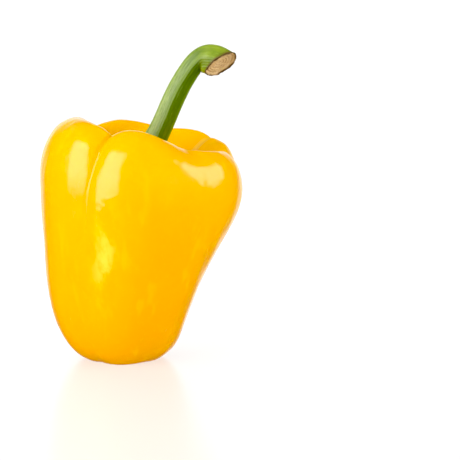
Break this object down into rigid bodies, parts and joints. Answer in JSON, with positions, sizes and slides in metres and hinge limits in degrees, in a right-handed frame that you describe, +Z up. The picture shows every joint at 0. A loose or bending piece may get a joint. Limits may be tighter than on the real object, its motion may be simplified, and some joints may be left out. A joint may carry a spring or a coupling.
{
  "type": "bell pepper",
  "caption": "Upright lobed bell pepper: glossy yellow fruit with a stem cavity, a crinkled green calyx and a bent fluted stem.",
  "frame": {"origin": "middle of the flat spot on the blossom end that the fruit rests on", "axes": "+Z up, from the blossom end to the stem; -Y is the front; the fruit leans and its stem bends towards +X"},
  "size_m": [0.0828, 0.0823, 0.1298],
  "materials": {
    "skin": "smooth waxy skin with a wet-looking gloss, yellow to orange-yellow",
    "calyx": "dull dark green leafy collar with pale crinkled crests",
    "stem": "satin fluted green stem with a tan corky cut end"
  },
  "bodies": {
    "root": {"fruit": "skin", "calyx": "calyx", "stem": "stem"}
  },
  "joints": []
}
